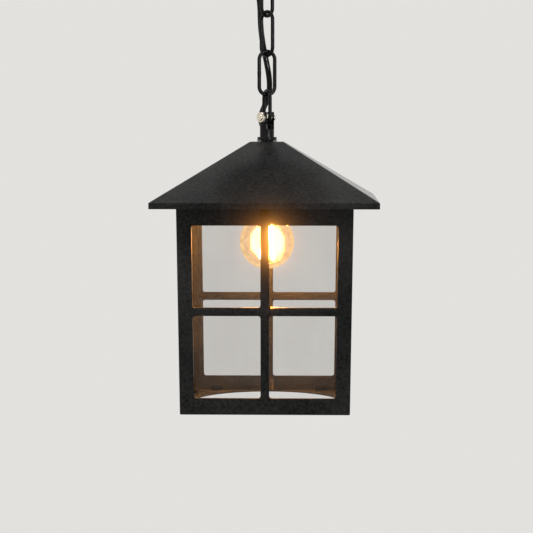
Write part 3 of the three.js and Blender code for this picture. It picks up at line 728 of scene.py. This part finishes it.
def square_loop(half, corner, z, straight=16, arc=6):
    """A square with rounded corners at a height, as a loop of points."""
    points = []
    inner = half - corner
    for side in range(4):
        turn_by = side * math.pi / 2
        row = [(-inner + 2 * inner * k / straight, -half) for k in range(straight)]
        for k in range(arc + 1):
            a = -math.pi / 2 + (math.pi / 2) * k / arc
            row.append((inner + corner * math.cos(a), -inner + corner * math.sin(a)))
        row.pop()
        c, s = math.cos(turn_by), math.sin(turn_by)
        points.extend((x * c - y * s, x * s + y * c, z) for x, y in row)
    return points


def round_loop(like, radius, z):
    """A circle with a point at the same bearing as each point of another loop."""
    out = []
    for x, y, _ in like:
        r = math.hypot(x, y)
        out.append((x / r * radius, y / r * radius, z))
    return out


def upright(shape, x, y, radius, low, high, segments=24, edge=0.3):
    """Adds a small upright cylinder with rounded edges."""
    profile = filleted([(0, high), (radius, high), (radius, low), (0, low)], edge, steps=2)
    turned(shape, profile, segments, (x, y))


CORNERS = [(1, 1), (-1, 1), (-1, -1), (1, -1)]
ROOF_HALF = 90.5
ROOF_HIP = 1.3
roof = Shape()
slope = (51.6 - 4.85) / (ROOF_HALF - 13.75)
underside = 3 / math.cos(math.atan(slope))
under_eave = -slope * (ROOF_HALF - 3 - 13.75) - underside
plate_half = 13.75 + (3 - underside) / slope
roof_profile = filleted(
    [
        (13.75, 0), (ROOF_HALF, -46.75), (ROOF_HALF, -51.6), (ROOF_HALF - 3, -51.6),
        (ROOF_HALF - 3, under_eave), (plate_half, -3),
    ],
    [0, 0.7, 0.45, 0.6, 2.0, 0],
)
top_edge = filleted([(8, 0), (13.75, 0), (30, -slope * 16.25)], 1.6)[1:-1]
sections = [square_loop(h, min(ROOF_HIP, h / 3), z) for h, z in top_edge + roof_profile[1:]]
hole_top = round_loop(sections[0], 5.4, 0)
hole_foot = round_loop(sections[-1], 5.4, -3)
roof.skin([hole_foot, hole_top, *sections, hole_foot])
for x, y in CORNERS:
    upright(roof, 60 * x, 60 * y, 4.5, -46.6, -32)
finished(roof.object("roof.shell"), "black_casting", "lantern", "roof")

# ---- body -------------------------------------------------------------------------------------------

BODY_FOOT = -217.0
FLANGE_TOP = -46.9
WALL = 3.0
WINDOW_TOP, WINDOW_FOOT = -65.5, -203.6
BAR_MIDDLE = -134.3
BAR_HALF = 3.45
CORNER_R = 1.6  # the body's upright corners
INNER_R = 1.0
FOOT_EDGE = 0.9
FOOT_PLATE = 1.3
FLANGE = 3.0
DRAFT = 2.4 / 165.4  # how the body's half width grows with height


def body_half(z):
    return 68 + DRAFT * (z - BODY_FOOT)


def window_half(z):
    return 56.4 + 1.8 * (z - WINDOW_FOOT) / (WINDOW_TOP - WINDOW_FOOT)


def light_outline(side, low, high, radius=2.0, arc=6, straight=8):
    """One light's edge, as [point, outward normal, share of bar, corner number, kind of point] in order round
    it.
    """
    upper = high > BAR_MIDDLE + 10
    corners = [
        (BAR_HALF, low), (window_half(low), low), (window_half(high), high), (BAR_HALF, high),
    ]
    bar_side = [not upper, False, upper, True]  # foot, outer side, head, inner side
    bar_side[0] = upper  # the upper light stands on the bar
    bar_side[2] = not upper  # the lower light's head is the bar
    centre = Vector(((BAR_HALF + window_half((low + high) / 2)) / 2, (low + high) / 2))
    out = []
    for i in range(4):
        here = Vector(corners[i])
        before = (Vector(corners[i - 1]) - here).normalized()
        after = (Vector(corners[(i + 1) % 4]) - here).normalized()
        side_before, side_after = bar_side[i - 1], bar_side[i]
        middle = here + (before + after) * radius
        normal_before = Vector((-before.y, before.x))
        if normal_before.dot(here - centre) < 0:
            normal_before.negate()
        normal_after = Vector((-after.y, after.x))
        if normal_after.dot(here - centre) < 0:
            normal_after.negate()
        for k in range(arc + 1):
            t = k / arc
            a = t * math.pi / 2
            normal = (normal_before * math.cos(a) + normal_after * math.sin(a)).normalized()
            spot = middle + normal * radius
            share = (1 - t) * side_before + t * side_after
            kind = "corner" if 0 < k < arc else ("before" if k == 0 else "after")
            out.append([spot, normal, share, i, kind])
        ahead = Vector(corners[(i + 1) % 4])
        first = middle + normal_after * radius
        last = ahead - after * radius
        for k in range(1, straight):
            out.append([first.lerp(last, k / straight), normal_after, float(side_after), i, "straight"])
    return [(Vector((side * p.x, p.y)), Vector((side * n.x, n.y)), s, i, kind) for p, n, s, i, kind in out]


def cell_edge(side, upper, spot, corner, kind, outer_x, head, foot):
    """The point on the cell's boundary that belongs to a point of the light's edge."""
    low_z = BAR_MIDDLE if upper else foot
    high_z = head if upper else BAR_MIDDLE
    x, z = spot
    edge = {0: "foot", 1: "outer", 2: "head", 3: "inner"}
    line = edge[corner] if kind in ("straight", "after") else edge[(corner - 1) % 4]
    if kind == "corner":
        z = low_z if corner in (0, 1) else high_z
        x = 0.0 if corner in (0, 3) else side * outer_x(z)
    elif line == "foot":
        z = low_z
    elif line == "head":
        z = high_z
    elif line == "inner":
        x = 0.0
    else:
        x = side * outer_x(z)
    return Vector((x, z))


def wall(shape, k):
    """Adds one wall: four lights with rounded edges between half-round bars."""
    turn_by = k * math.pi / 2
    c, s = math.cos(turn_by), math.sin(turn_by)

    def place(x, z, depth):
        y = -(body_half(z) - depth)
        return (x * c - y * s, x * s + y * c, z)

    def outer_x(z):
        return body_half(z) - CORNER_R

    def inner_x(z):
        return body_half(z) - WALL - INNER_R

    steps = 6
    for side in (-1, 1):
        for low, high in ((BAR_MIDDLE + BAR_HALF, WINDOW_TOP), (WINDOW_FOOT, BAR_MIDDLE - BAR_HALF)):
            upper = high > BAR_MIDDLE + 10
            edge = light_outline(side, low, high)
            loops = []
            loops.append(
                [
                    place(*cell_edge(side, upper, p, i, kind, outer_x, FLANGE_TOP, BODY_FOOT + FOOT_EDGE), 0)
                    for p, n, share, i, kind in edge
                ]
            )
            for j in range(steps, -1, -1):
                a = math.pi / 2 * j / steps
                ring_points = []
                for p, n, share, _, _ in edge:
                    reach = 0.55 + share * (BAR_HALF - 0.6)
                    drop = 0.55 + share * 1.5
                    spot = p + n * (reach * (1 - math.cos(a)))
                    ring_points.append(place(spot.x, spot.y, drop * (1 - math.sin(a))))
                loops.append(ring_points)
            for j in range(0, 4):
                a = math.pi / 2 * j / 3
                reach = 0.5 * (1 - math.cos(a))
                depth = WALL - 0.5 * (1 - math.sin(a))
                loops.append([place(p.x + n.x * reach, p.y + n.y * reach, depth) for p, n, *_ in edge])
            loops.append(
                [
                    place(
                        *cell_edge(
                            side, upper, p, i, kind, inner_x, FLANGE_TOP - FLANGE, BODY_FOOT + FOOT_PLATE
                        ),
                        WALL,
                    )
                    for p, n, share, i, kind in edge
                ]
            )
            shape.skin(loops)


def boss(shape, k):
    """Adds the low round boss where the bars cross."""
    half = body_half(BAR_MIDDLE)
    corners = [(0, 1.0), (3.4, 0.95), (4.6, -0.4), (4.6, -WALL), (0, -WALL)]
    profile = filleted(corners, [0, 1.2, 0.4, 0.3, 0], steps=5)
    loops = []
    for r, out in profile:
        row = []
        for i in range(40):
            a = 2 * math.pi * i / 40
            x, z, y = r * math.cos(a), BAR_MIDDLE + r * math.sin(a), -(half + out)
            c, s = math.cos(k * math.pi / 2), math.sin(k * math.pi / 2)
            row.append((x * c - y * s, x * s + y * c, z))
        loops.append(row)
    shape.skin(loops)


def corner_strips(shape, radius, inset, low, high):
    """Adds the rounded upright corners between the walls, outside or inside."""
    for k in range(4):
        c, s = math.cos(k * math.pi / 2), math.sin(k * math.pi / 2)
        rows = []
        for z in (low, BAR_MIDDLE, high):
            middle = body_half(z) - inset - radius
            row = []
            for i in range(7):
                a = -math.pi / 2 + math.pi / 2 * i / 6
                x, y = middle + radius * math.cos(a), -middle + radius * math.sin(a)
                row.append((x * c - y * s, x * s + y * c, z))
            rows.append(row)
        shape.skin(rows, closed=False)


body = Shape()
for k in range(4):
    wall(body, k)
    boss(body, k)
corner_strips(body, CORNER_R, 0, BODY_FOOT + FOOT_EDGE, FLANGE_TOP)
corner_strips(body, INNER_R, WALL, BODY_FOOT + FOOT_PLATE, FLANGE_TOP - FLANGE)
foot_sections = []
for j in range(5):
    a = math.pi / 2 * j / 4
    inset = FOOT_EDGE * (1 - math.cos(a))
    z = BODY_FOOT + FOOT_EDGE * (1 - math.sin(a))
    foot_sections.append(square_loop(body_half(z) - inset, CORNER_R - inset * 0.9, z))
hole_profile = filleted(
    [(64, BODY_FOOT), (62, BODY_FOOT), (62, BODY_FOOT + FOOT_PLATE), (64, BODY_FOOT + FOOT_PLATE)], 0.4
)
holes = [round_loop(foot_sections[-1], r, z) for r, z in hole_profile[1:-1]]
inside_foot = square_loop(body_half(BODY_FOOT + FOOT_PLATE) - WALL, INNER_R, BODY_FOOT + FOOT_PLATE)
body.skin([*foot_sections, *holes, inside_foot])
body.skin(
    [
        square_loop(body_half(FLANGE_TOP), CORNER_R, FLANGE_TOP),
        square_loop(52.3, 1.5, FLANGE_TOP),
        square_loop(52, 1.2, FLANGE_TOP - 0.3),
        square_loop(52, 1.2, FLANGE_TOP - FLANGE + 0.3),
        square_loop(52.3, 1.5, FLANGE_TOP - FLANGE),
        square_loop(body_half(FLANGE_TOP - FLANGE) - WALL, INNER_R, FLANGE_TOP - FLANGE),
    ]
)
finished(body.object("body_casting.walls"), "black_casting", "lantern", "body_casting")

# ---- glazing ----------------------------------------------------------------------------------------

SIDES = ["front", "right", "back", "left"]
PANE_TOP, PANE_FOOT, PANE_THICK = -61.5, -212.0, 2.4
GAP = 0.3


def facing(obj, k):
    """Turns a piece made for the front to face side k."""
    obj.data.transform(Matrix.Rotation(k * math.pi / 2, 4, "Z"))
    return obj


def pane(name):
    shape = Shape()
    rows = []
    for z in (PANE_FOOT, PANE_TOP):
        half = window_half(z) + 3.8
        near = -(body_half(z) - WALL - GAP)
        far = near + PANE_THICK
        rows.append([(-half, near, z), (half, near, z), (half, far, z), (-half, far, z)])
    low, high = shape.skin(rows)
    shape.cap(low, True)
    shape.cap(high)
    return bevelled(shape.object(name), 0.35, 2, 60)


def clip(name):
    """A spring clip: flat on the wall, then stepped over the top edge of the glass."""

    def wall_at(z):
        return -(body_half(z) - WALL - GAP)

    over = PANE_THICK + 2 * GAP
    line = [
        (wall_at(-52.5) + 0.4, -52.5), (wall_at(-59.3) + 0.4, -59.3), (wall_at(-60.3) + over + 0.4, -60.6),
        (wall_at(-66) + over + 0.4, -66),
    ]
    middle = filleted(line, 1.2, steps=5)
    shape = Shape()
    rows = []
    for i, (y, z) in enumerate(middle):
        ahead = Vector(middle[min(i + 1, len(middle) - 1)]) - Vector(middle[max(i - 1, 0)])
        normal = Vector((-ahead.y, ahead.x)).normalized() * 0.4
        rows.append(
            [
                (-6, y - normal.x, z - normal.y), (6, y - normal.x, z - normal.y),
                (6, y + normal.x, z + normal.y), (-6, y + normal.x, z + normal.y),
            ]
        )
    rows = shape.skin(rows)
    shape.cap(rows[0], True)
    shape.cap(rows[-1])
    return bevelled(shape.object(name), 0.15, 2, 50)


for k, side in enumerate(SIDES):
    finished(facing(pane(f"glass_pane_{side}.sheet"), k), "pane_glass", "lantern", f"glass_pane_{side}")
    finished(facing(clip(f"pane_clip_{side}.spring"), k), "zinc", "lantern", f"pane_clip_{side}")
    for end, hand in (("a", -1), ("b", 1)):
        low_z, high_z = BODY_FOOT + FOOT_PLATE + GAP, PANE_FOOT - GAP
        near = -(body_half(low_z) - WALL - GAP)
        shape = Shape()
        box(shape, (45 * hand - 5, near, low_z), (45 * hand + 5, near + 4, high_z))
        block = bevelled(shape.object(f"glass_block_{side}_{end}.pad"), 0.5, 3)
        finished(facing(block, k), "silicone", "lantern", f"glass_block_{side}_{end}")

# ---- lampholder and lamp ------------------------------------------------------------------------------

finished(
    lathe(
        "lampholder_cap.dome",
        [
            (5.3, -9), (9, -9), (10, -13), (15, -16), (19.5, -21), (19.5, -25), (17.5, -25), (17.5, -21.5),
            (13.5, -18), (5.3, -17),
        ],
        [0.3, 1, 1.5, 6, 3, 0.3, 0.2, 2, 3, 0.2],
        96,
        closed=True,
    ),
    "holder_plastic", "lantern", "lampholder_cap",
)
shell = [(17.5, -25.3), (19.5, -25.3)]
for k in range(8):
    top_z = -28.2 - 3.2 * k
    shell += [(19.5, top_z), (19.15, top_z - 0.5), (19.15, top_z - 1.1), (19.5, top_z - 1.6)]
shell += [(19.5, -55), (18.5, -56), (15.5, -56), (15.5, -53), (17.5, -52)]
skirt = lathe("lampholder_shell.skirt", shell, 0.2, 96, closed=True)
finished(skirt, "holder_plastic", "lantern", "lampholder_shell")
finished(
    lathe(
        "lampholder_core.body",
        [
            (0, -22.5), (15, -22.5), (16.6, -24.5), (16.6, -27.5), (14.9, -28.5), (14.9, -52), (13.4, -52),
            (13.4, -28), (0, -27),
        ],
        [0, 0.8, 0.8, 0.5, 0.5, 0.3, 0.3, 0.5, 0],
        72,
    ),
    "ceramic", "lantern", "lampholder_core",
)

LAMP_MIDDLE, LAMP_R, NECK_R = -82.6, 22.5, 12.4


def globe_outline(radius, neck):
    join = math.acos((neck + 0.6) / radius)
    out = [(neck, -50.5), (neck, LAMP_MIDDLE + radius * math.sin(join) + 3)]
    for i in range(41):
        a = join + (-math.pi / 2 - join) * i / 40
        out.append((radius * math.cos(a) if i < 40 else 0.0, LAMP_MIDDLE + radius * math.sin(a)))
    return out


globe = Shape()
outside = globe_outline(LAMP_R, NECK_R)
inside = globe_outline(LAMP_R - 1, NECK_R - 1)[::-1]
turned(globe, outside + inside + [(NECK_R, -50.5)], 96)
globe = finished(globe.object("lamp_globe.glass", 60), "lamp_glass", "lantern", "lamp_globe")
globe.visible_shadow = False


def screw_cap(shape):
    """Adds the lamp's screw cap with its rolled thread winding down it."""
    segments = 72
    turns = [2 * math.pi * i / segments for i in range(segments)]

    def circle(r, z):
        return [(r * math.cos(a), r * math.sin(a), z) for a in turns]

    loops = [circle(5.5, -33.6), circle(10.4, -33.7), circle(11.2, -34.4)]
    rows = 60
    for j in range(rows + 1):
        z = -35.2 - (17.9 * j) / rows
        row = []
        for i, a in enumerate(turns):
            wave = 0.5 - 0.5 * math.cos(2 * math.pi * ((z + 35.2) / 3.6 - i / segments))
            fade = min(1.0, (z + 53.1) / 3.5)
            r = 12.95 - 0.85 * wave * fade
            row.append((r * math.cos(a), r * math.sin(a), z))
        loops.append(row)
    inner = [(12.7, -49.9), (11.3, -49.0), (11.2, -36.2), (10.4, -34.4), (5.5, -34.4)]
    for r, z in [(12.95, -53.4), (12.75, -53.5), *inner]:
        loops.append(circle(r, z))
    shape.skin(loops, around=True)


cap = Shape()
screw_cap(cap)
finished(cap.object("lamp_cap.thread"), "nickel", "lantern", "lamp_cap")
contact = lathe(
    "lamp_contact.button",
    [(0, -29.5), (3.6, -30.1), (4.6, -30.9), (8.5, -33.3), (5.2, -33.3), (5.2, -36), (0, -36)],
    [0, 0.8, 0.6, 0.2, 0.1, 0.2, 0],
    56,
)
finished(contact, "brass", "lantern", "lamp_contact")
mount = lathe(
    "lamp_mount.glass",
    [
        (0, -44), (2, -44), (2.6, -48), (9.8, -52.5), (9.8, -53.5), (3.4, -57), (2.4, -60), (2, -70), (0, -70),
    ],
    [0, 0.5, 2, 0.4, 0.4, 2, 2, 0.8, 0],
    56,
)
mount = finished(mount, "lamp_glass", "lantern", "lamp_mount")
mount.visible_shadow = False
for number in range(1, 5):
    angle = math.radians(30 + 90 * (number - 1))
    lean = math.radians(22)
    top = Vector((4.4 * math.cos(angle), 4.4 * math.sin(angle), -67))
    foot = Vector((6.6 * math.cos(angle + lean), 6.6 * math.sin(angle + lean), -97))
    shape = Shape()
    line = [top.lerp(foot, t / 12) for t in range(13)]
    tube_along(shape, line, 1.15, 16)
    rod = bevelled(shape.object(f"lamp_filament_{number}.rod"), 0.35, 3, 60)
    rod = finished(rod, "glow", "lantern", f"lamp_filament_{number}")
    rod.visible_shadow = False

# ---- small hardware that keeps its CAD shape ------------------------------------------------------------

slot_of = {part["node"]: part["material_slot"] for part in frame["record"]["subparts"]}
for name, obj in frame["nodes"].items():
    obj.data.materials.clear()
    obj.data.materials.append(MATERIALS[slot_of[name]])
    if obj.hide_render:
        continue
    edge = obj.modifiers.new("edge", "BEVEL")
    edge.width = 0.25 * MM
    edge.segments = 2
    edge.limit_method = "ANGLE"
    edge.angle_limit = math.radians(40)

# ---- light and surroundings -----------------------------------------------------------------------------

world = bpy.data.worlds.new("studio")
world.use_nodes = True
world.node_tree.nodes["Background"].inputs["Color"].default_value = (0.765, 0.755, 0.735, 1)
world.node_tree.nodes["Background"].inputs["Strength"].default_value = 1.0
scene.world = world


def area_light(name, place, size, power, colour=(1, 1, 1), aim=(0, 0, -0.2)):
    data = bpy.data.lights.new(name, "AREA")
    data.shape = "DISK"
    data.size = size
    data.energy = power
    data.color = colour
    light = bpy.data.objects.new(name, data)
    light.location = place
    light.rotation_euler = (Vector(aim) - Vector(place)).to_track_quat("-Z", "Y").to_euler()
    light.visible_camera = False
    scene.collection.objects.link(light)
    return light


area_light("key", (-1.4, -1.2, 1.6), 1.0, 24)
area_light("top", (-0.2, 0.4, 2.0), 1.8, 12)

# A small cool light that reaches only the glossy hanging parts and gives them their highlights.
strip = area_light("strip", (1.0, -1.6, 0.1), 0.2, 11, (0.9, 0.95, 1.0))
hangers = bpy.data.collections.new("hangers")
for lit in bpy.data.objects:
    if lit.type == "MESH" and lit.name.startswith(("link_", "cable_", "hanger_", "canopy_loop")):
        hangers.objects.link(lit)
strip.light_linking.receiver_collection = hangers

lamp = bpy.data.lights.new("lamp_light", "POINT")
lamp.energy = 5.0
lamp.color = (1.0, 0.42, 0.09)
lamp.shadow_soft_size = 0.018
lamp_light = bpy.data.objects.new("lamp_light", lamp)
lamp_light.location = at(0, 0, LAMP_MIDDLE)
scene.collection.objects.link(lamp_light)
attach(lamp_light, "lantern")

scene.use_nodes = True
lens = scene.node_tree
lens.nodes.clear()
layers = lens.nodes.new("CompositorNodeRLayers")
bloom = lens.nodes.new("CompositorNodeGlare")
bloom.glare_type = "FOG_GLOW"
bloom.inputs["Threshold"].default_value = 1.2
bloom.inputs["Strength"].default_value = 2.3
bloom.inputs["Size"].default_value = 0.3
bloom.inputs["Tint"].default_value = (1.0, 0.75, 0.33, 1)
picture = lens.nodes.new("CompositorNodeComposite")
lens.links.new(layers.outputs["Image"], bloom.inputs["Image"])
lens.links.new(bloom.outputs["Image"], picture.inputs["Image"])

floor_mesh = bpy.data.meshes.new("floor")
ground = bmesh.new()
bmesh.ops.create_circle(ground, cap_ends=True, radius=6.0, segments=96)
bmesh.ops.translate(ground, verts=ground.verts, vec=(0, 0, -2.3))
ground.to_mesh(floor_mesh)
ground.free()
floor = bpy.data.objects.new("floor", floor_mesh)
scene.collection.objects.link(floor)
n = Nodes("pale_floor")
patches = n.ramp(n.noise(3.0, 3.0), 0.0, 1.0)
matte = n.add(
    "ShaderNodeBsdfPrincipled",
    {"Base Color": n.blend(patches, (0.78, 0.775, 0.765), (0.8, 0.795, 0.785)), "Roughness": 0.85},
)
floor_mesh.materials.append(n.surface(matte.outputs[0]))
